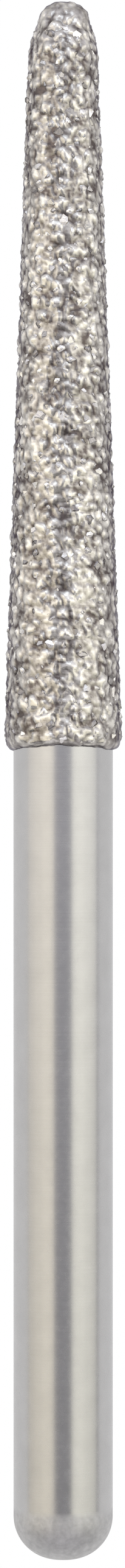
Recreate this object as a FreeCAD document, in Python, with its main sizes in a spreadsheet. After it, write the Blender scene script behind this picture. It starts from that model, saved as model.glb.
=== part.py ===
import FreeCAD, Part
import math
import os
import random
import Sketcher

# Diamond dental bur with a friction-grip shank, lying on a table.
# The steel blank is turned in one piece: a plain shank with a rounded end, then a small shoulder
# and a slimmer tapered core with a rounded point. Diamond grains stand on the core in plated
# nickel. That coat covers the shoulder and ends in a rounded lip on the plain shank.
# Both pieces are drawn with the bur's axis along Y, the end of the shank at the origin and the
# point towards +Y. They are then laid on the plane Z = 0, where the bur rests on the end of its
# shank and on the grains at the wide end of its coat. Lengths are in millimetres, angles in degrees.

SIZES = (
    ("shank_diameter", 1.60, "grip diameter of the shank"),
    ("shank_length", 13.00, "end of the shank to the lower edge of the coat"),
    ("shank_end_radius", 0.69, "rounding of the shank's end"),
    ("coat_length", 12.00, "lower edge of the coat to the point"),
    ("coat_overlap", 0.13, "lower edge of the coat to the shoulder under it"),
    ("straight_length", 0.35, "lower edge of the coat to the start of its taper"),
    ("coat_rise", 0.085, "how far the nickel stands proud of the shank"),
    ("taper_half_angle", 2.00, "slope of the coat's side"),
    ("nose_radius", 0.385, "rounding of the nickel at the point"),
    ("flank_radius", 1.80, "blend between the coat's side and its point"),
    ("bond_thickness", 0.140, "nickel over the core"),
    ("grain_height", 0.085, "how far the tallest grain stands out of the nickel"),
    ("grain_spacing", 0.162, "distance from one grain to the next"),
    ("lip_length", 0.20, "rounded lip at the coat's lower edge"),
    ("edge_wave", 0.08, "how far the coat's lower edge wanders up and down"),
)

DERIVED = (
    ("shoulder_place", "=shank_length + coat_overlap", "end of the shank to the shoulder"),
    ("taper_start", "=shank_length + straight_length", "end of the shank to the taper's start"),
    ("total_length", "=shank_length + coat_length", "end of the shank to the point"),
    (
        "core_radius",
        "=shank_diameter / 2 + coat_rise - bond_thickness / cos(taper_half_angle * 1 deg)"
        " + (straight_length - coat_overlap) * tan(taper_half_angle * 1 deg)",
        "radius of the core at the shoulder",
    ),
    ("core_length", "=total_length - grain_height - bond_thickness", "end of the shank to the core's point"),
)

# Counts, shares and angles that shape the grit. They aren't lengths.
GRAIN_SEED = 8
EDGE_LOBES = 2
EDGE_RING_COUNT = 4
POINT_RING_COUNT = 3
LEAST_RING_COUNT = 6
SIDEWAYS_SHARE = 0.25
LENGTHWISE_SHARE = 0.25
NEXT_OTHER_SHARE = 0.8
LOWEST_GRAIN_SHARE = 0.45
LOWEST_POINT_SHARE = 0.75
PIT_SHARE = 0.25
LIP_FOOT_SHARE = 0.30
WIDE_END_SHARE = 0.25
ROLL_LIMIT_DEGREES = 15.0
ROLL_STEP_DEGREES = 0.25

doc = FreeCAD.newDocument("dental_bur")


def add_rows(sheet, rows, first):
    """Writes rows of alias, value and meaning into the spreadsheet, from this row on."""
    for row, (alias, value, meaning) in enumerate(rows, start=first):
        sheet.set(f"A{row}", alias)
        sheet.setAlias(f"B{row}", alias)
        sheet.set(f"B{row}", str(value))
        sheet.set(f"C{row}", meaning)
    doc.recompute()


def make_sheet():
    """The spreadsheet that holds every driving size, and what follows from them."""
    sheet = doc.addObject("Spreadsheet::Sheet", "sizes")
    add_rows(sheet, SIZES + DERIVED, 1)
    return sheet


def head_centres(sheet):
    """The side's start on the nickel, the centres of the head's two arcs, its slope and their lean."""
    slope = math.radians(sheet.taper_half_angle)
    along = FreeCAD.Vector(-math.sin(slope), math.cos(slope), 0)
    outward = FreeCAD.Vector(math.cos(slope), math.sin(slope), 0)
    start = FreeCAD.Vector(sheet.shank_diameter / 2 + sheet.coat_rise, sheet.taper_start, 0)
    nose_centre = FreeCAD.Vector(0, sheet.total_length - sheet.grain_height - sheet.nose_radius, 0)
    # The flank's centre lies on a line beside the side, and at the difference of the two radii
    # from the nose's centre.
    offset = start - outward * sheet.flank_radius - nose_centre
    reach = sheet.flank_radius - sheet.nose_radius
    ahead = along.dot(offset)
    run = -ahead - math.sqrt(ahead**2 - offset.dot(offset) + reach**2)
    flank_centre = start + along * run - outward * sheet.flank_radius
    lean = math.atan2(nose_centre.y - flank_centre.y, nose_centre.x - flank_centre.x)
    return start, flank_centre, nose_centre, slope, lean


def arc(centre, size, start, end):
    """Part of a circle in the plane of the outline, from one angle to another, turning left."""
    return Part.ArcOfCircle(Part.Circle(centre, FreeCAD.Vector(0, 0, 1), size), start, end)


def make_blank(sheet):
    """The turned steel blank: shank, rounded end, shoulder, tapered core and rounded point."""
    body = doc.addObject("PartDesign::Body", "steel_blank")
    body.Label = "steel_blank"
    plane = next(f for f in body.Origin.OriginFeatures if f.Role == "XY_Plane")
    sketch = body.newObject("Sketcher::SketchObject", "blank_outline")
    sketch.AttachmentSupport = [(plane, "")]
    sketch.MapMode = "FlatFace"

    vector = FreeCAD.Vector
    radius = sheet.shank_diameter / 2
    end_radius = sheet.shank_end_radius
    _, flank_centre, nose_centre, slope, lean = head_centres(sheet)
    end_centre = vector(radius - end_radius, end_radius, 0)
    shoulder_outside = vector(radius, sheet.shoulder_place, 0)
    shoulder_inside = vector(sheet.core_radius, sheet.shoulder_place, 0)
    flank_radius = sheet.flank_radius - sheet.bond_thickness
    nose_radius = sheet.nose_radius - sheet.bond_thickness
    side_end = flank_centre + vector(math.cos(slope), math.sin(slope), 0) * flank_radius
    point = vector(0, sheet.core_length, 0)

    end_flat, end_round, shank, shoulder, side, flank, nose, axis = range(8)
    sketch.addGeometry(
        [
            Part.LineSegment(vector(0, 0, 0), vector(end_centre.x, 0, 0)),
            arc(end_centre, end_radius, -math.pi / 2, 0),
            Part.LineSegment(vector(radius, end_radius, 0), shoulder_outside),
            Part.LineSegment(shoulder_outside, shoulder_inside),
            Part.LineSegment(shoulder_inside, side_end),
            arc(flank_centre, flank_radius, slope, lean),
            arc(nose_centre, nose_radius, lean, math.pi / 2),
            Part.LineSegment(point, vector(0, 0, 0)),
        ],
        False,
    )
    start, end, centre = 1, 2, 3
    origin, vertical_axis = (-1, 1), -2
    rule = Sketcher.Constraint
    sketch.addConstraint(
        [
            rule("Coincident", end_flat, start, *origin),
            rule("Coincident", axis, end, *origin),
            rule("Horizontal", end_flat),
            rule("Vertical", shank),
            rule("Horizontal", shoulder),
            rule("Vertical", axis),
            rule("Tangent", end_flat, end, end_round, start),
            rule("Tangent", end_round, end, shank, start),
            rule("Coincident", shank, end, shoulder, start),
            rule("Coincident", shoulder, end, side, start),
            rule("Tangent", side, end, flank, start),
            rule("Tangent", flank, end, nose, start),
            rule("Coincident", nose, end, axis, start),
            rule("PointOnObject", nose, centre, vertical_axis),
        ]
    )
    shoulder_place = rule("DistanceY", *origin, shank, end, sheet.shoulder_place)
    bound = (
        ("shank_radius", rule("DistanceX", *origin, shank, start, radius), "sizes.shank_diameter / 2"),
        ("end_radius", rule("Radius", end_round, end_radius), "sizes.shank_end_radius"),
        ("shoulder_place", shoulder_place, "sizes.shoulder_place"),
        ("core_radius", rule("DistanceX", *origin, side, start, sheet.core_radius), "sizes.core_radius"),
        ("side_angle", rule("Angle", side, math.pi / 2 + slope), "90 deg + sizes.taper_half_angle * 1 deg"),
        ("flank_radius", rule("Radius", flank, flank_radius), "sizes.flank_radius - sizes.bond_thickness"),
        ("nose_radius", rule("Radius", nose, nose_radius), "sizes.nose_radius - sizes.bond_thickness"),
        ("core_length", rule("DistanceY", *origin, axis, start, sheet.core_length), "sizes.core_length"),
    )
    for name, constraint, formula in bound:
        index = sketch.addConstraint(constraint)
        sketch.renameConstraint(index, name)
        sketch.setExpression(f"Constraints.{name}", formula)
    doc.recompute()

    turned = body.newObject("PartDesign::Revolution", "turned_blank")
    turned.Profile = sketch
    turned.ReferenceAxis = (sketch, ["V_Axis"])
    turned.Angle = 360
    body.Tip = turned
    return body


def nickel_outline(sheet, step):
    """Evenly spaced places up the nickel's outline, each with the ways outward and along it."""
    start, flank_centre, nose_centre, slope, lean = head_centres(sheet)
    foot = FreeCAD.Vector(start.x, sheet.shank_length, 0)
    side_end = flank_centre + FreeCAD.Vector(math.cos(slope), math.sin(slope), 0) * sheet.flank_radius
    curves = (
        Part.LineSegment(foot, start),
        Part.LineSegment(start, side_end),
        arc(flank_centre, sheet.flank_radius, slope, lean),
        arc(nose_centre, sheet.nose_radius, lean, math.pi / 2),
    )
    wire = Part.Wire([curve.toShape() for curve in curves])
    points = sorted(wire.discretize(Number=round(wire.Length / step) + 1), key=lambda p: p.y)
    outline = []
    for index, point in enumerate(points):
        before = points[max(index - 1, 0)]
        after = points[min(index + 1, len(points) - 1)]
        along = (after - before).normalize()
        outline.append((point, FreeCAD.Vector(along.y, -along.x, 0), along))
    return outline


def lip_share(sheet, distance):
    """How much of its full height the coat has, this far from its lower edge: a quarter round."""
    to_go = max(0.0, 1 - distance / sheet.lip_length)
    return LIP_FOOT_SHARE + (1 - LIP_FOOT_SHARE) * math.sqrt(1 - to_go**2)


def grain_height(sheet, is_grain, at_point, chance):
    """Height over the nickel's outline at one place: a grain's top, or a dip between grains."""
    if at_point:
        return sheet.grain_height * chance.uniform(LOWEST_POINT_SHARE, 1.0)
    if is_grain:
        return sheet.grain_height * chance.uniform(LOWEST_GRAIN_SHARE, 1.0)
    return -sheet.coat_rise * PIT_SHARE * chance.random()


def grain_ring(sheet, place, number, step, at_point, chance):
    """One ring of points round the coat, as (angle, point) pairs: grains and the nickel between."""
    base, outward, along = place
    count = max(LEAST_RING_COUNT, 2 * round(math.pi * base.x / step))
    lip = lip_share(sheet, number * step)
    # The lower edge's waves die out over the first rings.
    sway = sheet.edge_wave * max(0.0, 1 - number / EDGE_RING_COUNT)
    start = chance.random()
    is_grain = chance.random() < 0.5
    ring = []
    for index in range(count):
        turn = index + start + chance.uniform(-SIDEWAYS_SHARE, SIDEWAYS_SHARE)
        angle = 2 * math.pi * turn / count
        if chance.random() < NEXT_OTHER_SHARE:
            is_grain = not is_grain
        height = sheet.coat_rise + grain_height(sheet, is_grain, at_point, chance)
        shift = step * chance.uniform(-LENGTHWISE_SHARE, LENGTHWISE_SHARE) if number else 0.0
        shift -= sway * math.cos(EDGE_LOBES * angle)
        spot = base + outward * (height * lip - sheet.coat_rise) + along * shift
        ring.append((angle, FreeCAD.Vector(spot.x * math.cos(angle), spot.y, -spot.x * math.sin(angle))))
    return ring


def join_rings(lower, upper):
    """Triangles between two rings of points, taking whichever ring's next point comes first."""
    facets = []
    at_lower = at_upper = 0

    def angle_after(ring, place):
        """Angle of the point after this one, counted on past a full turn."""
        turns, index = divmod(place + 1, len(ring))
        return ring[index][0] + 2 * math.pi * turns

    while at_lower < len(lower) or at_upper < len(upper):
        lower_now = lower[at_lower % len(lower)][1]
        upper_now = upper[at_upper % len(upper)][1]
        lower_comes_first = angle_after(lower, at_lower) <= angle_after(upper, at_upper)
        if at_upper >= len(upper) or (at_lower < len(lower) and lower_comes_first):
            at_lower += 1
            facets.append((lower_now, lower[at_lower % len(lower)][1], upper_now))
        else:
            at_upper += 1
            facets.append((lower_now, upper[at_upper % len(upper)][1], upper_now))
    return facets


def grit_facets(sheet):
    """Triangles of the coat's outside, closed through the blank at its lower edge."""
    chance = random.Random(GRAIN_SEED)
    step = sheet.grain_spacing / math.sqrt(2)
    outline = nickel_outline(sheet, step)
    rings = []
    for number, place in enumerate(outline[:-1]):
        at_point = number >= len(outline) - 1 - POINT_RING_COUNT
        rings.append(grain_ring(sheet, place, number, step, at_point, chance))
    rings.append([(0.0, FreeCAD.Vector(0, sheet.total_length, 0))])
    facets = []
    for lower, upper in zip(rings, rings[1:]):
        facets += join_rings(lower, upper)
    foot = FreeCAD.Vector(0, sheet.shank_length, 0)
    lowest = [corner for _, corner in rings[0]]
    facets += [(after, before, foot) for before, after in zip(lowest, lowest[1:] + lowest[:1])]
    return facets


def find_rest(sheet, facets):
    """How the bur comes to rest: the roll at which it lies lowest, and how far it then tilts."""
    radius = sheet.shank_diameter / 2
    heel = sheet.shank_end_radius
    reach = sheet.shank_length + sheet.coat_length * WIDE_END_SHARE
    wide_end = {tuple(corner) for facet in facets for corner in facet if heel < corner.y < reach}

    def tilt_at(roll):
        """Tilt that keeps every grain above the table while the shank's end touches it."""
        sine, cosine = math.sin(math.radians(roll)), math.cos(math.radians(roll))
        return max(math.atan2(x * sine - z * cosine - radius, y - heel) for x, y, z in wide_end)

    steps = round(ROLL_LIMIT_DEGREES / ROLL_STEP_DEGREES)
    roll = min((step * ROLL_STEP_DEGREES for step in range(-steps, steps + 1)), key=tilt_at)
    tilt = tilt_at(roll)
    lift = radius * math.cos(tilt) - heel * math.sin(tilt)
    rows = (
        ("rest_tilt", math.degrees(tilt), "slope of the bur's axis as it lies"),
        ("rest_lift", lift, "height of the shank's end centre over the table"),
    )
    add_rows(sheet, rows, len(SIZES + DERIVED) + 1)
    return roll


def lay_down(piece):
    """Lays a piece that was drawn along Y on the table, with the bur's middle over the origin."""
    piece.Placement = FreeCAD.Placement(FreeCAD.Vector(0, 0, 0), FreeCAD.Rotation(FreeCAD.Vector(1, 0, 0), 1))
    piece.setExpression("Placement.Base.y", "-sizes.total_length / 2")
    piece.setExpression("Placement.Base.z", "sizes.rest_lift")
    piece.setExpression("Placement.Rotation.Angle", "sizes.rest_tilt * 1 deg")


def make_grit(facets, roll):
    """A closed solid with the coat's outside, rolled to its rest: each grain is a faceted peak."""
    turn = FreeCAD.Rotation(FreeCAD.Vector(0, 1, 0), roll)
    numbers = {}
    for facet in facets:
        for corner in facet:
            numbers.setdefault(tuple(corner), len(numbers))
    triangles = [tuple(numbers[tuple(corner)] for corner in facet) for facet in facets]
    sound = [triangle for triangle in triangles if len(set(triangle)) == 3]
    skin = Part.Shape()
    skin.makeShapeFromMesh(([turn.multVec(FreeCAD.Vector(*c)) for c in numbers], sound), 1e-6)
    solid = Part.makeSolid(skin)
    if solid.Volume < 0:
        solid.reverse()
    grit = doc.addObject("Part::Feature", "grit_outside")
    grit.Label = "grit_outside"
    grit.Shape = solid
    return grit


def make_coat(grit, blank):
    """The diamond coat: the grit's outside less the blank, so that it sits on the steel."""
    coat = doc.addObject("Part::Cut", "diamond_coat")
    coat.Label = "diamond_coat"
    coat.Base = grit
    coat.Tool = blank
    coat.Refine = False
    doc.recompute()
    return coat


def check(pieces):
    """Stops the macro if any object failed, or a piece has no sound single solid."""
    for item in doc.Objects:
        if {"Invalid", "Error"} & set(item.State):
            raise RuntimeError(f"{item.Label} failed: {item.State}")
    for item in pieces:
        if item.Shape.isNull() or not item.Shape.isValid() or len(item.Shape.Solids) != 1:
            raise RuntimeError(f"{item.Label} has no sound single solid")


def export(pieces):
    """Writes each piece to its own file."""
    os.makedirs("parts", exist_ok=True)
    for item in pieces:
        item.Shape.Solids[0].exportStep(os.path.join("parts", f"{item.Label}.step"))
        box = item.Shape.BoundBox
        print(
            f"{item.Label}: {item.Shape.Volume:.4f} mm3, {len(item.Shape.Faces)} faces,"
            f" X {box.XMin:.3f} to {box.XMax:.3f}, Y {box.YMin:.3f} to {box.YMax:.3f},"
            f" Z {box.ZMin:.3f} to {box.ZMax:.3f}"
        )


sizes = make_sheet()
steel_blank = make_blank(sizes)
outside = grit_facets(sizes)
rest_roll = find_rest(sizes, outside)
grit_outside = make_grit(outside, rest_roll)
lay_down(steel_blank)
lay_down(grit_outside)
diamond_coat = make_coat(grit_outside, steel_blank)
check((steel_blank, diamond_coat))
export((steel_blank, diamond_coat))
print(f"rest: roll {rest_roll:.2f}, tilt {sizes.rest_tilt:.3f} degrees, lift {sizes.rest_lift:.4f} mm")
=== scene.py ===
"""A round-ended taper diamond bur, lying on a white table under soft lamps.

The bur is modelled in millimetres with its axis along Y, the end of its shank at the origin and its
point towards +Y. Each finished piece is then scaled to metres and laid on the table, where the bur
rests on the end of its shank and on the grains at the wide end of its coat.
"""

import logging
import math
import random
import statistics
from dataclasses import dataclass
from enum import Enum

import bpy
from mathutils import Euler, Matrix, Vector


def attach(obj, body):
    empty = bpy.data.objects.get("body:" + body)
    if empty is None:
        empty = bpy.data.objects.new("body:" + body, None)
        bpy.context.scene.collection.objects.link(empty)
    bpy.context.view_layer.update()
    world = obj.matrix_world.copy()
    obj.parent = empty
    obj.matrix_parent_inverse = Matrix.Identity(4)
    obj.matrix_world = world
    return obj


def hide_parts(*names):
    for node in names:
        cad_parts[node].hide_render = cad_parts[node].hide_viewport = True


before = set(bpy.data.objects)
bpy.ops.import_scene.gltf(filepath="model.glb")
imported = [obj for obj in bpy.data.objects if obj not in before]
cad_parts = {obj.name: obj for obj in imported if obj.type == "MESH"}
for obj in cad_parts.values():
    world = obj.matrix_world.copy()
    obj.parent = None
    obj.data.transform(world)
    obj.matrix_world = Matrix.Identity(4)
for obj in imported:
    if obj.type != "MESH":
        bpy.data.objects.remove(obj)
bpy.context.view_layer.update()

LOG = logging.getLogger("dental_bur")

MILLIMETRE = 0.001
SHANK_RADIUS = 0.80
GOLDEN_TURN = math.pi * (3 - math.sqrt(5))
WHITE = (1.0, 1.0, 1.0, 1.0)
MERGED_WITHIN = 0.0002


class Slot(Enum):
    """The finishes that the part is made in."""

    STEEL = "steel"
    COAT = "diamond_coat"


class Side(Enum):
    """The sides of the bur that a lamp can hang on, with the sign of its turn from above."""

    LEFT = -1
    RIGHT = 1


# How pieces are made and laid down


def clear_selection() -> None:
    """Leaves edit mode and deselects everything, so that an operator acts on new work only."""
    if bpy.context.object is not None and bpy.context.object.mode != "OBJECT":
        bpy.ops.object.mode_set(mode="OBJECT")
    bpy.ops.object.select_all(action="DESELECT")


def pick(piece: bpy.types.Object) -> None:
    """Makes one object the only one selected, and the active one.

    Args:
        piece: The object to pick.
    """
    clear_selection()
    piece.select_set(True)
    bpy.context.view_layer.objects.active = piece


def spin_outline(
    name: str, outline: list[Vector], segments: int, closed: bool = False
) -> bpy.types.Object:
    """Turns an outline about the bur's length, as on a lathe.

    Args:
        name: Name of the new piece.
        outline: Points with the distance from the axis in X and the place along it in Y.
        segments: How many flats there are round the piece.
        closed: Whether the last point joins the first one.

    Returns:
        The turned piece, with its faces outwards.
    """
    clear_selection()
    bpy.ops.mesh.primitive_plane_add(size=1.0, location=(0, 0, 0))
    piece = bpy.context.object
    piece.name = name
    piece.data.name = name
    bpy.ops.object.mode_set(mode="EDIT")
    bpy.ops.mesh.select_all(action="SELECT")
    bpy.ops.mesh.merge(type="CENTER")
    bpy.ops.transform.translate(value=outline[0])
    corners = outline + outline[:1] if closed else outline
    for before, after in zip(corners, corners[1:]):
        bpy.ops.mesh.extrude_vertices_move(TRANSFORM_OT_translate={"value": after - before})
    bpy.ops.mesh.select_all(action="SELECT")
    bpy.ops.mesh.spin(
        steps=segments, angle=2 * math.pi, use_auto_merge=True, center=(0, 0, 0), axis=(0, 1, 0)
    )
    bpy.ops.mesh.select_all(action="SELECT")
    bpy.ops.mesh.remove_doubles(threshold=MERGED_WITHIN)
    bpy.ops.mesh.normals_make_consistent(inside=False)
    bpy.ops.object.mode_set(mode="OBJECT")
    return piece


@dataclass(frozen=True)
class Rest:
    """How the bur lies on the table: its length, and the slope and height of its axis."""

    length: float = 25.0
    tilt_degrees: float = 0.634
    lift: float = 0.7923
    clear_of_table: float = 0.002

    def lowest(self, place: float) -> float:
        """Gives how low a piece may reach, from the bur's axis at a place along it, in millimetres."""
        return self.clear_of_table - (self.lift + place * math.sin(math.radians(self.tilt_degrees)))

    def lay_down(self, piece: bpy.types.Object) -> None:
        """Scales a piece to metres and lays it on the table, with its place in its mesh.

        Args:
            piece: A piece modelled in millimetres along Y.
        """
        pick(piece)
        bpy.ops.transform.resize(value=(MILLIMETRE,) * 3, center_override=(0, 0, 0))
        bpy.ops.object.transform_apply(location=True, rotation=True, scale=True)
        piece.rotation_euler = (math.radians(self.tilt_degrees), 0, 0)
        piece.location = (0, -self.length / 2 * MILLIMETRE, self.lift * MILLIMETRE)
        bpy.ops.object.transform_apply(location=True, rotation=True, scale=True)


# The finishes, and the nodes that they share


def new_group(name: str, inputs: dict[str, float], outputs: tuple[str, ...]) -> bpy.types.NodeTree:
    """Starts a shader group with number inputs and outputs.

    Args:
        name: Name of the group.
        inputs: Name and default of each input.
        outputs: Name of each output.

    Returns:
        The group, with its input and output nodes in place.
    """
    group = bpy.data.node_groups.new(name, "ShaderNodeTree")
    for label, value in inputs.items():
        socket = group.interface.new_socket(name=label, in_out="INPUT", socket_type="NodeSocketFloat")
        socket.default_value = value
    for label in outputs:
        group.interface.new_socket(name=label, in_out="OUTPUT", socket_type="NodeSocketFloat")
    group.nodes.new("NodeGroupInput").name = "in"
    group.nodes.new("NodeGroupOutput").name = "out"
    return group


def place_group(
    tree: bpy.types.NodeTree, group: bpy.types.NodeTree, **values: float
) -> bpy.types.NodeOutputs:
    """Places a shader group in a material, with its own values.

    Args:
        tree: The material's nodes.
        group: The shader group.
        values: Input values, with an underscore for each space in an input's name.

    Returns:
        The outputs of the group's node.
    """
    node = tree.nodes.new("ShaderNodeGroup")
    node.node_tree = group
    for label, value in values.items():
        node.inputs[label.replace("_", " ")].default_value = value
    return node.outputs


def math_node(tree: bpy.types.NodeTree, operation: str, second: float = 0.0) -> bpy.types.Node:
    """Adds a node that works out one number.

    Args:
        tree: The nodes that it joins.
        operation: What it does with its two numbers.
        second: Its second number, where no link brings one.

    Returns:
        The new node.
    """
    node = tree.nodes.new("ShaderNodeMath")
    node.operation = operation
    node.inputs[1].default_value = second
    return node


def share_node(tree: bpy.types.NodeTree, first: float, last: float) -> bpy.types.Node:
    """Adds a node that turns a value into its share of the way between two others.

    Args:
        tree: The nodes that it joins.
        first: The value that gives 0.
        last: The value that gives 1.

    Returns:
        The new node.
    """
    node = tree.nodes.new("ShaderNodeMapRange")
    node.inputs["From Min"].default_value = first
    node.inputs["From Max"].default_value = last
    return node


def blend(
    tree: bpy.types.NodeTree,
    first: tuple[float, ...],
    last: tuple[float, ...],
    share: bpy.types.NodeSocket,
) -> bpy.types.NodeSocket:
    """Mixes two colours by a share that changes over the surface.

    Args:
        tree: The nodes that the mix joins.
        first: The colour at a share of 0.
        last: The colour at a share of 1.
        share: The output that gives the share.

    Returns:
        The output with the mixed colour.
    """
    mix = tree.nodes.new("ShaderNodeMix")
    mix.data_type = "RGBA"
    mix.inputs["A"].default_value = (*first, 1.0)
    mix.inputs["B"].default_value = (*last, 1.0)
    tree.links.new(share, mix.inputs["Factor"])
    return mix.outputs["Result"]


def place_parts(tree: bpy.types.NodeTree) -> bpy.types.NodeOutputs:
    """Adds nodes that give the X, Y and Z of each place on the piece.

    Args:
        tree: The nodes that they join.

    Returns:
        The three outputs.
    """
    place = tree.nodes.new("ShaderNodeTexCoord")
    parts = tree.nodes.new("ShaderNodeSeparateXYZ")
    tree.links.new(place.outputs["Object"], parts.inputs[0])
    return parts.outputs


@dataclass(frozen=True)
class Mottle:
    """A soft uneven tone all over a surface, between a low and a high value."""

    name: str = "mottle"
    detail: float = 3.0
    fineness: float = 0.6
    middle: float = 0.5
    reach: float = 0.25

    def group(self) -> bpy.types.NodeTree:
        """Makes the shader group the first time, and finds it after that.

        Returns:
            The group.
        """
        if self.name in bpy.data.node_groups:
            return bpy.data.node_groups[self.name]
        inputs = {"Per mm": 4.0, "Low": 0.0, "High": 1.0, "Contrast": 1.0}
        group = new_group(self.name, inputs, ("Value",))
        links, given = group.links, group.nodes["in"].outputs
        place = group.nodes.new("ShaderNodeTexCoord")
        per_metre = math_node(group, "DIVIDE", MILLIMETRE)
        noise = group.nodes.new("ShaderNodeTexNoise")
        noise.inputs["Detail"].default_value = self.detail
        noise.inputs["Roughness"].default_value = self.fineness
        centred = math_node(group, "SUBTRACT", self.middle)
        stretched = math_node(group, "MULTIPLY")
        spread = share_node(group, -self.reach, self.reach)
        links.new(given["Per mm"], per_metre.inputs[0])
        links.new(place.outputs["Object"], noise.inputs["Vector"])
        links.new(per_metre.outputs[0], noise.inputs["Scale"])
        links.new(noise.outputs["Fac"], centred.inputs[0])
        links.new(centred.outputs[0], stretched.inputs[0])
        links.new(given["Contrast"], stretched.inputs[1])
        links.new(stretched.outputs[0], spread.inputs["Value"])
        links.new(given["Low"], spread.inputs["To Min"])
        links.new(given["High"], spread.inputs["To Max"])
        links.new(spread.outputs["Result"], group.nodes["out"].inputs["Value"])
        return group


@dataclass(frozen=True)
class RoundMarks:
    """Fine marks that run round the bur, as a grinding wheel leaves them on a turned shank."""

    name: str = "round_marks"
    per_mm_round: float = 0.6
    detail: float = 2.0

    def group(self) -> bpy.types.NodeTree:
        """Makes the shader group the first time, and finds it after that.

        Returns:
            The group.
        """
        if self.name in bpy.data.node_groups:
            return bpy.data.node_groups[self.name]
        group = new_group(self.name, {"Marks per mm": 30.0}, ("Height",))
        links = group.links
        parts = place_parts(group)
        whole = group.nodes.new("ShaderNodeCombineXYZ")
        for axis in ("X", "Z"):
            across = math_node(group, "MULTIPLY", self.per_mm_round / MILLIMETRE)
            links.new(parts[axis], across.inputs[0])
            links.new(across.outputs[0], whole.inputs[axis])
        per_metre = math_node(group, "DIVIDE", MILLIMETRE)
        along = math_node(group, "MULTIPLY")
        noise = group.nodes.new("ShaderNodeTexNoise")
        noise.inputs["Scale"].default_value = 1.0
        noise.inputs["Detail"].default_value = self.detail
        links.new(group.nodes["in"].outputs["Marks per mm"], per_metre.inputs[0])
        links.new(parts["Y"], along.inputs[0])
        links.new(per_metre.outputs[0], along.inputs[1])
        links.new(along.outputs[0], whole.inputs["Y"])
        links.new(whole.outputs[0], noise.inputs["Vector"])
        links.new(noise.outputs["Fac"], group.nodes["out"].inputs["Height"])
        return group


class Finish:
    """What all finishes share: a material with its Principled shader, its gloss and its bumps."""

    @staticmethod
    def start(name: str, metal: float = 1.0) -> tuple[bpy.types.Material, bpy.types.Node]:
        """Makes a material with a metallic Principled shader in it.

        Args:
            name: Name of the material.
            metal: How much of a metal it is, from 0 to 1.

        Returns:
            The material and its shader node.
        """
        material = bpy.data.materials.new(name)
        material.use_nodes = True
        shader = material.node_tree.nodes["Principled BSDF"]
        shader.inputs["Metallic"].default_value = metal
        return material, shader

    @staticmethod
    def mottle(tree: bpy.types.NodeTree, **values: float) -> bpy.types.NodeSocket:
        """Places the mottle in a material, with its own values, and gives its output."""
        return place_group(tree, Mottle().group(), **values)["Value"]

    @staticmethod
    def surface_value(tree: bpy.types.NodeTree, name: str) -> bpy.types.NodeSocket:
        """Reads a value that the piece keeps at each of its corners.

        Args:
            tree: The material's nodes.
            name: Name of the value.

        Returns:
            The output with the value.
        """
        kept = tree.nodes.new("ShaderNodeAttribute")
        kept.attribute_name = name
        return kept.outputs["Fac"]

    @staticmethod
    def bump(shader: bpy.types.Node, height: bpy.types.NodeSocket, depth: float, strength: float) -> None:
        """Lets a height that changes over the surface turn the shader's normal.

        Args:
            shader: The material's Principled shader.
            height: The output that gives the height.
            depth: How deep a full step of height is, in millimetres.
            strength: The share of the bump that shows.
        """
        tree = shader.id_data
        node = tree.nodes.new("ShaderNodeBump")
        node.inputs["Strength"].default_value = strength
        node.inputs["Distance"].default_value = depth * MILLIMETRE
        tree.links.new(height, node.inputs["Height"])
        tree.links.new(node.outputs["Normal"], shader.inputs["Normal"])


@dataclass(frozen=True)
class GroundSteel(Finish):
    """Stainless steel: ground to satin along the shank, and left as turned on its rounded end.

    The place where the turned end starts is counted from the middle of the bur's length.
    """

    dark: tuple[float, float, float] = (0.475, 0.47, 0.465)
    light: tuple[float, float, float] = (0.53, 0.525, 0.52)
    tone_per_mm: float = 2.5
    smoothest: float = 0.23
    roughest: float = 0.30
    gloss_per_mm: float = 9.0
    contrast: float = 0.8
    turned_roughness: float = 0.50
    turned_darkest: float = 0.80
    turned_lightest: float = 1.10
    turned_per_mm: float = 10.0
    turned_end: float = -11.76
    turned_fade: float = 0.12
    marks_per_mm: float = 28.0
    mark_depth: float = 0.0012
    mark_strength: float = 0.35

    def material(self) -> bpy.types.Material:
        """Makes the steel's material.

        Returns:
            The material.
        """
        material, shader = self.start("ground_steel")
        tree = material.node_tree
        fade_start = self.turned_end + self.turned_fade
        turned = share_node(tree, fade_start * MILLIMETRE, self.turned_end * MILLIMETRE)
        tree.links.new(place_parts(tree)["Y"], turned.inputs["Value"])
        ground_spots = self.mottle(tree, Per_mm=self.tone_per_mm, Contrast=self.contrast)
        ground_tone = blend(tree, self.dark, self.light, ground_spots)
        dull = tuple(self.turned_darkest * part for part in self.light)
        clear = tuple(self.turned_lightest * part for part in self.light)
        turned_tone = blend(tree, dull, clear, self.mottle(tree, Per_mm=self.turned_per_mm))
        tone = tree.nodes.new("ShaderNodeMix")
        tone.data_type = "RGBA"
        tree.links.new(turned.outputs["Result"], tone.inputs["Factor"])
        tree.links.new(ground_tone, tone.inputs["A"])
        tree.links.new(turned_tone, tone.inputs["B"])
        tree.links.new(tone.outputs["Result"], shader.inputs["Base Color"])
        gloss = self.mottle(
            tree, Per_mm=self.gloss_per_mm, Low=self.smoothest, High=self.roughest, Contrast=self.contrast
        )
        rough = tree.nodes.new("ShaderNodeMix")
        rough.inputs["B"].default_value = self.turned_roughness
        tree.links.new(turned.outputs["Result"], rough.inputs["Factor"])
        tree.links.new(gloss, rough.inputs["A"])
        tree.links.new(rough.outputs["Result"], shader.inputs["Roughness"])
        marks = place_group(tree, RoundMarks().group(), Marks_per_mm=self.marks_per_mm)
        self.bump(shader, marks["Height"], self.mark_depth, self.mark_strength)
        return material


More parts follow.
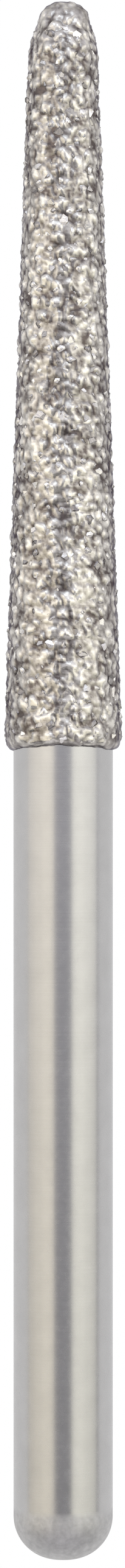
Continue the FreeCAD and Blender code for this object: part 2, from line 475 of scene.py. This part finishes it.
@dataclass(frozen=True)
class PlatedNickel(Finish):
    """Plated nickel that runs up over the grains, with shade painted by the lumps' height: bright on its
    lumps, dull brown in its pits.
    """

    # dark is the painted shade in the pits; light is the nickel on the lumps' tops
    dark: tuple[float, float, float] = (0.125, 0.105, 0.098)
    light: tuple[float, float, float] = (0.77, 0.74, 0.68)
    grazing: tuple[float, float, float] = (0.40, 0.39, 0.46)
    tone_per_mm: float = 3.7
    tone_low: float = -0.56
    tone_high: float = 0.50
    smoothest: float = 0.18
    roughest: float = 0.32
    gloss_per_mm: float = 14.0
    lumps_per_mm: float = 9.0
    lump_depth: float = 0.005
    lump_strength: float = 0.4
    # The name of the kept lump heights, which paint shade into the nickel's colour.
    painted_shade_name: str = "height"

    def material(self) -> bpy.types.Material:
        """Makes the nickel's material.

        Returns:
            The material.
        """
        material, shader = self.start("plated_nickel")
        tree = material.node_tree
        shader.inputs["Specular Tint"].default_value = (*self.grazing, 1.0)
        # The tone is painted shade by the lumps' height, darker in the pits and lighter on the tops, plus
        # patches of random tone.
        patches = self.mottle(tree, Per_mm=self.tone_per_mm, Low=self.tone_low, High=self.tone_high)
        share = math_node(tree, "ADD")
        share.use_clamp = True
        tree.links.new(self.surface_value(tree, self.painted_shade_name), share.inputs[0])
        tree.links.new(patches, share.inputs[1])
        tone = blend(tree, self.dark, self.light, share.outputs[0])
        tree.links.new(tone, shader.inputs["Base Color"])
        gloss = self.mottle(tree, Per_mm=self.gloss_per_mm, Low=self.smoothest, High=self.roughest)
        tree.links.new(gloss, shader.inputs["Roughness"])
        lumps = self.mottle(tree, Per_mm=self.lumps_per_mm)
        self.bump(shader, lumps, self.lump_depth, self.lump_strength)
        return material


@dataclass(frozen=True)
class DiamondGrain(Finish):
    """Diamond grains with a skin of nickel on most of their faces: bright, and each its own tone."""

    dark: tuple[float, float, float] = (0.30, 0.28, 0.27)
    light: tuple[float, float, float] = (0.88, 0.855, 0.815)
    grazing: tuple[float, float, float] = (0.18, 0.17, 0.16)
    metal: float = 0.92
    refraction: float = 2.0
    smoothest: float = 0.18
    roughest: float = 0.34
    gloss_per_mm: float = 8.0
    gloss_contrast: float = 1.2
    lumps_per_mm: float = 16.0
    lump_depth: float = 0.008
    lump_strength: float = 0.5
    tone_name: str = "tone"

    def material(self) -> bpy.types.Material:
        """Makes the grains' material.

        Returns:
            The material.
        """
        material, shader = self.start("diamond_grain", self.metal)
        tree = material.node_tree
        shader.inputs["IOR"].default_value = self.refraction
        shader.inputs["Specular Tint"].default_value = (*self.grazing, 1.0)
        tone = blend(tree, self.dark, self.light, self.surface_value(tree, self.tone_name))
        tree.links.new(tone, shader.inputs["Base Color"])
        gloss = self.mottle(
            tree,
            Per_mm=self.gloss_per_mm,
            Low=self.smoothest,
            High=self.roughest,
            Contrast=self.gloss_contrast,
        )
        tree.links.new(gloss, shader.inputs["Roughness"])
        lumps = self.mottle(tree, Per_mm=self.lumps_per_mm)
        self.bump(shader, lumps, self.lump_depth, self.lump_strength)
        return material


# The bur's own pieces


@dataclass(frozen=True)
class Place:
    """A place on a turned outline, with the way outwards there."""

    point: Vector
    outward: Vector


@dataclass(frozen=True)
class RoundTaper:
    """A half outline that runs straight, tapers, and ends in a flank and a round nose."""

    foot: float
    foot_place: float
    straight: float
    flank_radius: float
    nose_radius: float
    point: float
    taper_degrees: float = 2.0

    def places(self, step: float) -> list[Place]:
        """Even places from the foot to the point.

        Args:
            step: The distance from one place to the next, in millimetres.

        Returns:
            The places, with the last one on the axis.
        """
        slope = math.radians(self.taper_degrees)
        along = Vector((-math.sin(slope), math.cos(slope), 0))
        outward = Vector((math.cos(slope), math.sin(slope), 0))
        foot = Vector((self.foot, self.foot_place, 0))
        start = foot + Vector((0, self.straight, 0))
        nose = Vector((0, self.point - self.nose_radius, 0))
        offset = start - outward * self.flank_radius - nose
        reach = self.flank_radius - self.nose_radius
        ahead = along.dot(offset)
        run = -ahead - math.sqrt(ahead**2 - offset.dot(offset) + reach**2)
        flank = start + along * run - outward * self.flank_radius
        lean = math.atan2(nose.y - flank.y, nose.x - flank.x)
        lengths = (
            self.straight,
            run,
            self.flank_radius * (lean - slope),
            self.nose_radius * (math.pi / 2 - lean),
        )
        count = max(2, round(sum(lengths) / step))
        result = []
        for index in range(count + 1):
            left = sum(lengths) * index / count
            if left < lengths[0]:
                result.append(Place(foot + Vector((0, left, 0)), Vector((1, 0, 0))))
                continue
            left -= lengths[0]
            if left < lengths[1]:
                result.append(Place(start + along * left, outward))
                continue
            left -= lengths[1]
            on_flank = left < lengths[2]
            centre, radius = (flank, self.flank_radius) if on_flank else (nose, self.nose_radius)
            angle = slope + left / radius if on_flank else lean + (left - lengths[2]) / radius
            way = Vector((math.cos(angle), math.sin(angle), 0))
            result.append(Place(centre + way * radius, way))
        result[-1] = Place(Vector((0, self.point, 0)), Vector((0, 1, 0)))
        return result


@dataclass
class SteelBlank:
    """The blank: a plain shank with a rounded end, a small shoulder and a slim tapered core."""

    shank_radius: float = SHANK_RADIUS
    end_radius: float = 0.69
    core: RoundTaper = RoundTaper(
        foot=0.7529, foot_place=13.13, straight=0.0, flank_radius=1.66, nose_radius=0.245, point=24.775
    )
    core_step: float = 0.4
    segments: int = 192
    arc_steps: int = 24
    crease_degrees: float = 30.0

    def outline(self) -> list[Vector]:
        """Draws half the blank's outline, from the flat of its end to the point of its core.

        Returns:
            The points, with the distance from the axis in X and the place along it in Y.
        """
        centre = Vector((self.shank_radius - self.end_radius, self.end_radius, 0))
        points = [Vector((0, 0, 0))]
        for step in range(self.arc_steps + 1):
            angle = -math.pi / 2 + math.pi / 2 * step / self.arc_steps
            points.append(centre + Vector((math.cos(angle), math.sin(angle), 0)) * self.end_radius)
        points.append(Vector((self.shank_radius, self.core.foot_place, 0)))
        points.append(Vector((self.core.foot, self.core.foot_place, 0)))
        return points + [place.point for place in self.core.places(self.core_step)[1:]]

    def build(self, rest: Rest) -> bpy.types.Object:
        """Turns the blank and lays it down.

        Args:
            rest: How the bur lies.

        Returns:
            The finished piece.
        """
        piece = spin_outline("steel_blank_turned", self.outline(), self.segments)
        pick(piece)
        bpy.ops.object.shade_smooth_by_angle(angle=math.radians(self.crease_degrees))
        rest.lay_down(piece)
        piece.data.materials.append(GroundSteel().material())
        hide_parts("steel_blank")
        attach(piece, "root")
        return piece


# The outside of the nickel, along which the grains stand too.
COAT_OUTSIDE = RoundTaper(
    foot=0.892, foot_place=13.045, straight=0.305, flank_radius=1.80, nose_radius=0.385, point=24.915
)


class Pattern(Enum):
    """The patterns that lumps come in: round pebbles, angular blocks, or clouds."""

    PEBBLES = 1
    BLOCKS = 2
    CLOUDS = 3


@dataclass(frozen=True)
class Lumps:
    """Lumps of one kind that are raised all over a piece.

    A negative height raises the middles of pebbles and a positive one those of blocks. The level
    is the value of the pattern that stays where it was.
    """

    name: str
    pattern: Pattern
    size: float
    height: float
    level: float

    def raise_on(self, piece: bpy.types.Object) -> None:
        """Raises the lumps on a piece.

        Args:
            piece: The piece, in millimetres.
        """
        kind = "CLOUDS" if self.pattern is Pattern.CLOUDS else "VORONOI"
        texture = bpy.data.textures.new(self.name, kind)
        texture.noise_scale = self.size
        if self.pattern is Pattern.CLOUDS:
            texture.noise_depth = 1
        elif self.pattern is Pattern.PEBBLES:
            texture.distance_metric = "DISTANCE_SQUARED"
        else:
            texture.weight_1 = -1.0
            texture.weight_2 = 1.0
        displace = piece.modifiers.new(self.name, "DISPLACE")
        displace.texture = texture
        displace.texture_coords = "LOCAL"
        displace.strength = self.height
        displace.mid_level = self.level
        pick(piece)
        bpy.ops.object.modifier_apply(modifier=displace.name)


@dataclass(frozen=True)
class Swelling:
    """A large grain under the nickel: where it lies, how wide it shows and how far it stands out."""

    middle: tuple[float, float, float]
    radius: float
    rise: float


@dataclass
class NickelBond:
    """The plated nickel that holds the grains: it runs up over them, with a rounded lip at its edge."""

    outside: RoundTaper = COAT_OUTSIDE
    shank_radius: float = SHANK_RADIUS
    lip_length: float = 0.09
    lip_steps: int = 9
    lip_start: float = 0.02
    sunk_edge: float = 0.04
    step: float = 0.0280
    segments: int = 208
    wall: float = 0.12
    wall_rings: int = 8
    clear_of_axis: float = 0.02
    # The lower edge wanders in two waves and a small ripple, which fade above it.
    wave_reach: float = 0.45
    edge_wave: float = 0.04
    edge_waves: int = 2
    ripple: float = 0.008
    ripples: int = 7
    ripple_turn: float = 1.0
    swellings: tuple[Swelling, ...] = (
        Swelling((0.235, 24.725, 0.170), 0.300, 0.092),
        Swelling((-0.190, 24.765, 0.150), 0.260, 0.062),
        Swelling((0.000, 24.740, -0.240), 0.280, 0.060),
        Swelling((0.015, 24.915, 0.040), 0.270, 0.036),
    )
    swelling_power: float = 1.25
    swelling_root: float = 24.5
    swelling_foot: float = 24.3
    # Lumps are lower on the lip, on the swellings and close round the point.
    lip_share: float = 0.30
    lip_fade: float = 0.22
    point_fade: float = 0.14
    calm: float = 0.50
    # On the swellings' calm places, this height stands in for the lumps' height in the painted shade.
    calm_height: float = 0.028
    lowest_lump: float = -0.015
    highest_lump: float = 0.078
    slightest_lump: float = 0.001
    near_axis: float = 0.3
    nose_root: float = 24.4
    # The painted shade: the nickel's tone follows the small lumps' height, around this middle and with
    # this contrast.
    painted_shade_middle: float = 0.5
    contrast: float = 0.28
    large_lumps: Lumps = Lumps("large_grains_under_nickel", Pattern.PEBBLES, 0.250, -0.034, 0.97)
    small_lumps: tuple[Lumps, ...] = (
        Lumps("grains_under_nickel", Pattern.BLOCKS, 0.180, 0.080, 0.00),
        Lumps("small_grains_under_nickel", Pattern.BLOCKS, 0.115, 0.055, -0.06),
        Lumps("uneven_plating", Pattern.CLOUDS, 0.080, 0.008, 0.50),
    )

    def outline(self) -> list[Vector]:
        """Draws the closed half section: up the outside from the lip to the point, and back inside.

        Returns:
            The points, with the distance from the axis in X and the place along it in Y.
        """
        foot_place = self.outside.foot_place
        rise = self.outside.foot - self.shank_radius
        points = [Vector((self.shank_radius - self.sunk_edge, foot_place, 0))]
        for index in range(self.lip_steps + 1):
            turn = math.pi / 2 * index / self.lip_steps
            across = self.shank_radius - self.lip_start + (rise + self.lip_start) * math.sin(turn)
            points.append(Vector((across, foot_place + self.lip_length * (1 - math.cos(turn)), 0)))
        places = self.outside.places(self.step)
        points += [place.point for place in places if place.point.y > points[-1].y + self.step / 2]
        lowest = foot_place + self.lip_length
        every = len(places) // self.wall_rings
        inside = [place.point - place.outward * self.wall for place in places[::every]]
        inside = [point for point in inside if point.y > lowest and point.x > self.clear_of_axis]
        top = Vector((0, self.outside.point - self.wall, 0))
        return points + [top] + list(reversed(inside))

    def wave_edge(self, piece: bpy.types.Object) -> None:
        """Lets the lower edge wander up and down, less and less above it.

        Args:
            piece: The turned nickel, in millimetres.
        """
        for vertex in piece.data.vertices:
            above = (vertex.co.y - self.outside.foot_place) / self.wave_reach
            fade = max(0.0, 1 - above) ** 2
            turn = math.atan2(-vertex.co.z, vertex.co.x)
            vertex.co.y -= self.edge_wave * fade * math.cos(self.edge_waves * turn)
            vertex.co.y += self.ripple * fade * math.sin(self.ripples * turn + self.ripple_turn)

    def share_kept(self, place: Vector) -> float:
        """Works out how much of the lumps is kept at a place.

        Args:
            place: A place on the nickel.

        Returns:
            A share from 0 to 1, which falls on the lip and close round the point.
        """
        above_lip = (place.y - self.outside.foot_place + self.edge_wave) / self.lip_fade
        above_lip = min(1.0, max(0.0, above_lip))
        across = math.hypot(place.x, place.z) / self.point_fade
        return (self.lip_share + (1 - self.lip_share) * above_lip) * min(1.0, across)

    def swell(self, piece: bpy.types.Object) -> list[float]:
        """Raises the nickel over the large grains at the point.

        Args:
            piece: The nickel, in millimetres.

        Returns:
            For each corner, how much of the lumps is kept there.
        """
        kept = [self.share_kept(vertex.co) for vertex in piece.data.vertices]
        for swelling in self.swellings:
            middle = Vector(swelling.middle)
            way = (middle - Vector((0, self.swelling_root, 0))).normalized()
            for vertex in piece.data.vertices:
                share = (vertex.co - middle).length / swelling.radius
                if share < 1 and vertex.co.y > self.swelling_foot:
                    vertex.co += way * swelling.rise * (1 - share**2) ** self.swelling_power
                    calmed = 1 - self.calm * min(1.0, 2 - 2 * share)
                    kept[vertex.index] = min(kept[vertex.index], calmed)
        return kept

    def outward(self, place: Vector) -> Vector:
        """Finds the way out of the nickel at a place.

        Args:
            place: A place on the nickel.

        Returns:
            The way straight out from the axis, or near it from a place inside the nose.
        """
        across = Vector((place.x, 0, place.z))
        if across.length > self.near_axis:
            return across.normalized()
        return (place - Vector((0, self.nose_root, 0))).normalized()

    def keep_heights(
        self,
        piece: bpy.types.Object,
        before: list[Vector],
        between: list[Vector],
        shares: list[float],
        rest: Rest,
    ) -> None:
        """Keeps how high the small lumps are, as painted shade in the nickel's colour, and trims the
        highest and lowest.

        Args:
            piece: The lumpy nickel, in millimetres.
            before: Where each corner was before any lumps were raised.
            between: Where each corner was after the large lumps.
            shares: How much of the lumps is kept at each corner.
            rest: How the bur lies, as no lump goes under the table.
        """
        heights: list[float] = []
        for vertex, old, large, share in zip(piece.data.vertices, before, between, shares):
            small = vertex.co - large
            moved = (vertex.co - old) * share
            out = self.outward(old)
            height = moved.dot(out)
            kept = min(self.highest_lump, max(self.lowest_lump, height))
            vertex.co = old + moved * (kept / height if abs(height) > self.slightest_lump else 1.0)
            vertex.co.z = max(vertex.co.z, rest.lowest(vertex.co.y))
            heights.append(small.dot(out) * share + (1 - share) * self.calm_height)
        middle = statistics.fmean(heights)
        spread = statistics.pstdev(heights)
        LOG.info("lumps %.4f mm high, give or take %.4f mm", middle, spread)
        # The heights become painted shade: darker in the pits, lighter on the lumps' tops.
        shade = piece.data.attributes.new(PlatedNickel().painted_shade_name, "FLOAT", "POINT")
        painted_shade_tones = [self.painted_shade_middle + self.contrast * (height - middle) / spread for height in heights]
        shade.data.foreach_set("value", painted_shade_tones)

    def build(self, rest: Rest) -> bpy.types.Object:
        """Makes the nickel and lays it down.

        Args:
            rest: How the bur lies.

        Returns:
            The finished piece.
        """
        piece = spin_outline("nickel_bond", self.outline(), self.segments, closed=True)
        self.wave_edge(piece)
        shares = self.swell(piece)
        before = [vertex.co.copy() for vertex in piece.data.vertices]
        self.large_lumps.raise_on(piece)
        between = [vertex.co.copy() for vertex in piece.data.vertices]
        for kind in self.small_lumps:
            kind.raise_on(piece)
        self.keep_heights(piece, before, between, shares, rest)
        pick(piece)
        bpy.ops.object.shade_smooth()
        rest.lay_down(piece)
        piece.data.materials.append(PlatedNickel().material())
        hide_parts("diamond_coat")
        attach(piece, "root")
        return piece


@dataclass(frozen=True)
class LargeGrain:
    """A large bare grain near the point: where its middle lies, and its size."""

    middle: tuple[float, float, float]
    size: float


@dataclass
class DiamondGrains:
    """The diamond grains: broken crystals, half sunk in the nickel all over the coat."""

    outside: RoundTaper = COAT_OUTSIDE
    seed: int = 41
    kinds: int = 14
    flat_share: float = 0.45
    cuts: int = 11
    cut_tilt: float = 0.3
    deepest_cut: float = 0.72
    merged_within: float = 0.06
    spacing: float = 0.210
    jitter: float = 0.30
    first_place: float = 13.12
    last_place: float = 24.55
    smallest: float = 0.060
    largest: float = 0.120
    commonest: float = 0.085
    widths: tuple[float, float] = (0.70, 1.00)
    depths: tuple[float, float] = (0.65, 0.95)
    proudest: float = 0.072
    least_proud: float = 0.034
    # A grain's middle lies this share of its size, or more, under the height that it stands up to.
    depth_share: float = 0.85
    large: tuple[LargeGrain, ...] = (
        LargeGrain((0.195, 24.385, 0.385), 0.095),
        LargeGrain((-0.215, 24.440, 0.360), 0.070),
    )
    large_lean: float = 0.32
    large_tone: float = 1.0

    def crystal(self, number: int, chance: random.Random) -> bpy.types.Mesh:
        """Breaks a block into a crystal with flat uneven faces, about one millimetre in radius.

        Args:
            number: Number of the crystal, for its name.
            chance: The source of its unevenness.

        Returns:
            The crystal's mesh.
        """
        clear_selection()
        bpy.ops.mesh.primitive_cube_add(size=2.0, location=(0, 0, 0))
        block = bpy.context.object
        block.data.name = f"crystal_{number}"
        bpy.ops.object.mode_set(mode="EDIT")
        for index in range(self.cuts):
            height = 1 - 2 * (index + 0.5) / self.cuts
            across = math.sqrt(1 - height**2)
            turn = index * GOLDEN_TURN + number
            way = Vector((across * math.cos(turn), across * math.sin(turn), height))
            way += Vector([chance.uniform(-self.cut_tilt, self.cut_tilt) for _ in range(3)])
            way.normalize()
            reach = chance.uniform(self.deepest_cut, 1.0)
            bpy.ops.mesh.select_all(action="SELECT")
            bpy.ops.mesh.bisect(plane_co=way * reach, plane_no=way, use_fill=True, clear_outer=True)
        bpy.ops.mesh.select_all(action="SELECT")
        bpy.ops.mesh.remove_doubles(threshold=self.merged_within)
        bpy.ops.mesh.normals_make_consistent(inside=False)
        bpy.ops.object.mode_set(mode="OBJECT")
        if number < self.kinds * self.flat_share:
            bpy.ops.object.shade_flat()
        else:
            bpy.ops.object.shade_smooth()
        mesh = block.data.copy()
        bpy.data.objects.remove(block)
        return mesh

    def seat(self, crystal: bpy.types.Mesh, where: Matrix, tone: float) -> bpy.types.Object:
        """Puts a copy of a crystal in its place, with a tone of its own.

        Args:
            crystal: The crystal to copy.
            where: Its place, turn and size.
            tone: From 0, dark, to 1, bright.

        Returns:
            The grain as an object.
        """
        mesh = crystal.copy()
        mesh.transform(where)
        shade = mesh.attributes.new(DiamondGrain().tone_name, "FLOAT", "POINT")
        shade.data.foreach_set("value", [tone] * len(mesh.vertices))
        grain = bpy.data.objects.new("grain", mesh)
        bpy.context.collection.objects.link(grain)
        return grain

    def sink(
        self,
        rest: Rest,
        spot: Place,
        shift: float,
        crystals: list[bpy.types.Mesh],
        chance: random.Random,
    ) -> bpy.types.Object:
        """Sinks one grain into the nickel, with its own turn, size and height.

        Args:
            rest: How the bur lies, for a grain over the table.
            spot: The place on the nickel, with the way outwards there.
            shift: How far along the bur the grain stands from that place.
            crystals: The crystals to choose from.
            chance: The source of the grain's unevenness.

        Returns:
            The grain.
        """
        way = spot.outward
        size = chance.triangular(self.smallest, self.largest, self.commonest)
        shape = Vector((size, size * chance.uniform(*self.widths), size * chance.uniform(*self.depths)))
        twist = Euler([chance.uniform(0, 2 * math.pi) for _ in range(3)]).to_matrix().to_4x4()
        proud = chance.uniform(self.least_proud, self.proudest)
        middle = spot.point + way * (proud - self.depth_share * size) + Vector((0, shift, 0))
        where = Matrix.Translation(middle) @ twist @ Matrix.Diagonal((*shape, 1))
        crystal = chance.choice(crystals)
        reach = max((where @ vertex.co - spot.point).dot(way) for vertex in crystal.vertices)
        middle += way * (min(proud, reach) - reach)
        where.translation = middle
        under = rest.lowest(middle.y) - min((where @ vertex.co).z for vertex in crystal.vertices)
        if under > 0:
            where.translation = middle - Vector((way.x, 0, way.z)) * under
        return self.seat(crystal, where, chance.random())

    def scatter(
        self, rest: Rest, crystals: list[bpy.types.Mesh], chance: random.Random
    ) -> list[bpy.types.Object]:
        """Spreads grains evenly all over the coat, in rings that are half a step apart in turn.

        Args:
            rest: How the bur lies, for the grains over the table.
            crystals: The crystals to choose from.
            chance: The source of their unevenness.

        Returns:
            The grains.
        """
        grains = []
        ring_step = self.spacing * math.sqrt(3) / 2
        places = self.outside.places(ring_step)
        places = [place for place in places if self.first_place <= place.point.y <= self.last_place]
        for number, place in enumerate(places):
            count = max(1, round(2 * math.pi * place.point.x / self.spacing))
            for index in range(count):
                turn = (index + number % 2 / 2 + chance.uniform(-self.jitter, self.jitter)) / count
                shift = chance.uniform(-self.jitter, self.jitter) * ring_step
                around = Matrix.Rotation(2 * math.pi * turn, 4, "Y")
                spot = Place(around @ place.point, around @ place.outward)
                grains.append(self.sink(rest, spot, shift, crystals, chance))
        return grains

    def set_large(
        self, crystals: list[bpy.types.Mesh], chance: random.Random
    ) -> list[bpy.types.Object]:
        """Sets the large grains, each with its widest face towards the lamp on its side.

        Args:
            crystals: The crystals to choose from.
            chance: The source of the choice.

        Returns:
            The large grains.
        """
        grains = []
        for large in self.large:
            crystal = chance.choice(crystals)
            widest = max(crystal.polygons, key=lambda face: face.area)
            to_lamp = Vector((math.copysign(self.large_lean, large.middle[0]), 0, 1)).normalized()
            twist = widest.normal.rotation_difference(to_lamp).to_matrix().to_4x4()
            where = Matrix.Translation(large.middle) @ twist @ Matrix.Scale(large.size, 4)
            grains.append(self.seat(crystal, where, self.large_tone))
        return grains

    def build(self, rest: Rest) -> bpy.types.Object:
        """Makes the grains, joins them into one piece and lays it down.

        Args:
            rest: How the bur lies.

        Returns:
            The finished piece.
        """
        chance = random.Random(self.seed)
        crystals = [self.crystal(number, chance) for number in range(self.kinds)]
        grains = self.scatter(rest, crystals, chance) + self.set_large(crystals, chance)
        clear_selection()
        for grain in grains:
            grain.select_set(True)
        piece = grains[0]
        bpy.context.view_layer.objects.active = piece
        bpy.ops.object.join()
        piece.name = "diamond_grains"
        piece.data.name = "diamond_grains"
        rest.lay_down(piece)
        piece.data.materials.append(DiamondGrain().material())
        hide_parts("diamond_coat")
        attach(piece, "root")
        LOG.info("%d grains, %d faces", len(grains), len(piece.data.polygons))
        return piece


# The table, the lamps and the camera


@dataclass(frozen=True)
class Strip:
    """A long lamp on one side of the bur, between two slopes from straight above it."""

    name: str
    side: Side
    inner_degrees: float
    outer_degrees: float
    radiance: float


@dataclass(frozen=True)
class EndLamp:
    """A lamp past one end of the bur, with its slope from straight above towards the point."""

    name: str
    degrees: float
    size: tuple[float, float]
    radiance: float
    light: tuple[float, float, float]


@dataclass
class Studio:
    """A white table under long warm lamps on both sides, with a cool lamp past each end of the bur."""

    table_size: float = 4.0
    table_colour: tuple[float, float, float] = (0.80, 0.80, 0.82)
    table_shine: float = 0.68
    lamp_distance: float = 0.30
    lamp_length: float = 0.30
    left_light: tuple[float, float, float] = (1.00, 0.92, 0.72)
    right_light: tuple[float, float, float] = (1.00, 0.985, 0.835)
    strips: tuple[Strip, ...] = (
        Strip("lamp_left_upper", Side.LEFT, 21.0, 50.0, 0.89),
        Strip("lamp_left_middle", Side.LEFT, 50.0, 70.0, 0.76),
        Strip("lamp_left_lower", Side.LEFT, 70.0, 88.0, 0.62),
        Strip("lamp_right_upper", Side.RIGHT, 20.0, 50.0, 0.96),
        Strip("lamp_right_middle", Side.RIGHT, 50.0, 68.0, 0.82),
        Strip("lamp_right_lower", Side.RIGHT, 68.0, 83.0, 0.68),
    )
    end_lamps: tuple[EndLamp, ...] = (
        EndLamp("lamp_point_end", 44.0, (0.15, 0.16), 1.25, (0.76, 0.88, 1.0)),
        EndLamp("lamp_shank_end", -54.0, (0.40, 0.30), 0.45, (0.97, 0.94, 1.0)),
    )
    behind: tuple[float, float, float] = (0.30, 0.295, 0.31)
    ahead: tuple[float, float, float] = (0.87, 0.865, 0.95)
    turn_of_tone: float = 0.17

    def lamp(
        self,
        name: str,
        turn: Euler,
        size: tuple[float, float],
        radiance: float,
        light: tuple[float, ...],
    ) -> None:
        """Hangs a soft flat lamp that faces the bur.

        Args:
            name: Name of the lamp.
            turn: How the lamp is swung from straight above the bur.
            size: Its width across the bur and its length along it, in metres.
            radiance: Its brightness, where 1 is white paper.
            light: Its colour.
        """
        data = bpy.data.lights.new(name, "AREA")
        data.shape = "RECTANGLE"
        data.size, data.size_y = size
        data.color = light
        data.energy = radiance * math.pi * size[0] * size[1]
        lamp = bpy.data.objects.new(name, data)
        lamp.location = turn.to_matrix() @ Vector((0, 0, self.lamp_distance))
        lamp.rotation_euler = turn
        lamp.visible_camera = False
        bpy.context.collection.objects.link(lamp)

    def hang_lamps(self) -> None:
        """Hangs the strips on both sides and a lamp past each end."""
        for strip in self.strips:
            middle = math.radians((strip.inner_degrees + strip.outer_degrees) / 2)
            half = math.radians((strip.outer_degrees - strip.inner_degrees) / 2)
            size = (2 * self.lamp_distance * math.tan(half), self.lamp_length)
            light = self.left_light if strip.side is Side.LEFT else self.right_light
            self.lamp(strip.name, Euler((0, strip.side.value * middle, 0)), size, strip.radiance, light)
        for end in self.end_lamps:
            turn = Euler((-math.radians(end.degrees), 0, 0))
            self.lamp(end.name, turn, end.size, end.radiance, end.light)

    def lay_table(self) -> None:
        """Makes the table: white to the camera, dimmer in the bur's steel, and matt otherwise."""
        clear_selection()
        bpy.ops.mesh.primitive_plane_add(size=self.table_size, location=(0, 0, 0))
        table = bpy.context.object
        table.name = "table"
        material = bpy.data.materials.new("white_table")
        material.use_nodes = True
        tree = material.node_tree
        nodes, links = tree.nodes, tree.links
        nodes.clear()
        matt = nodes.new("ShaderNodeBsdfDiffuse")
        matt.inputs["Color"].default_value = (*self.table_colour, 1.0)
        white = nodes.new("ShaderNodeEmission")
        white.inputs["Color"].default_value = WHITE
        seen = nodes.new("ShaderNodeLightPath")
        mirrored = math_node(tree, "ADD")
        mirrored_share = math_node(tree, "MULTIPLY", self.table_shine)
        white_share = math_node(tree, "ADD")
        mix = nodes.new("ShaderNodeMixShader")
        surface = nodes.new("ShaderNodeOutputMaterial")
        links.new(seen.outputs["Is Glossy Ray"], mirrored.inputs[0])
        links.new(seen.outputs["Is Transmission Ray"], mirrored.inputs[1])
        links.new(mirrored.outputs[0], mirrored_share.inputs[0])
        links.new(seen.outputs["Is Camera Ray"], white_share.inputs[0])
        links.new(mirrored_share.outputs[0], white_share.inputs[1])
        links.new(white_share.outputs[0], mix.inputs["Fac"])
        links.new(matt.outputs[0], mix.inputs[1])
        links.new(white.outputs[0], mix.inputs[2])
        links.new(mix.outputs[0], surface.inputs["Surface"])
        table.data.materials.append(material)

    def fill_room(self) -> None:
        """Makes the room: white to the camera, else cool and bright ahead of the point and dim behind."""
        world = bpy.data.worlds.new("room")
        bpy.context.scene.world = world
        world.use_nodes = True
        tree = world.node_tree
        nodes, links = tree.nodes, tree.links
        nodes.clear()
        way = nodes.new("ShaderNodeTexCoord")
        parts = nodes.new("ShaderNodeSeparateXYZ")
        forward = share_node(tree, -self.turn_of_tone, self.turn_of_tone)
        dim = nodes.new("ShaderNodeBackground")
        white = nodes.new("ShaderNodeBackground")
        white.inputs["Color"].default_value = WHITE
        seen = nodes.new("ShaderNodeLightPath")
        mix = nodes.new("ShaderNodeMixShader")
        surface = nodes.new("ShaderNodeOutputWorld")
        links.new(way.outputs["Generated"], parts.inputs[0])
        links.new(parts.outputs["Y"], forward.inputs["Value"])
        tone = blend(tree, self.behind, self.ahead, forward.outputs["Result"])
        links.new(tone, dim.inputs["Color"])
        links.new(seen.outputs["Is Camera Ray"], mix.inputs["Fac"])
        links.new(dim.outputs[0], mix.inputs[1])
        links.new(white.outputs[0], mix.inputs[2])
        links.new(mix.outputs[0], surface.inputs["Surface"])

    def build(self) -> None:
        """Sets the whole studio up."""
        self.hang_lamps()
        self.lay_table()
        self.fill_room()
        bpy.context.scene.view_settings.view_transform = "Standard"


@dataclass(frozen=True)
class Camera:
    """A long lens straight above the bur, with the bur's point up in the picture."""

    lens: float = 100.0
    film: float = 36.0
    frame_height: float = 25.166
    focus_height: float = 0.93
    right: float = -0.0107
    up: float = -0.052
    nearest: float = 0.005
    farthest: float = 5.0

    def build(self) -> None:
        """Sets the camera up."""
        data = bpy.data.cameras.new("camera")
        data.lens = self.lens
        data.sensor_width = self.film
        data.sensor_fit = "AUTO"
        data.clip_start = self.nearest
        data.clip_end = self.farthest
        camera = bpy.data.objects.new("camera", data)
        distance = self.frame_height * self.lens / self.film
        camera.location = (
            self.right * MILLIMETRE,
            self.up * MILLIMETRE,
            (self.focus_height + distance) * MILLIMETRE,
        )
        bpy.context.collection.objects.link(camera)
        bpy.context.scene.camera = camera


def main() -> None:
    """Builds the bur piece by piece, then the studio and the camera."""
    logging.basicConfig(level=logging.INFO, format="%(message)s")
    rest = Rest()
    for maker in (SteelBlank(), NickelBond(), DiamondGrains()):
        piece = maker.build(rest)
        LOG.info("%s: %d faces", piece.name, len(piece.data.polygons))
    Studio().build()
    Camera().build()


if __name__ == "__main__":
    main()
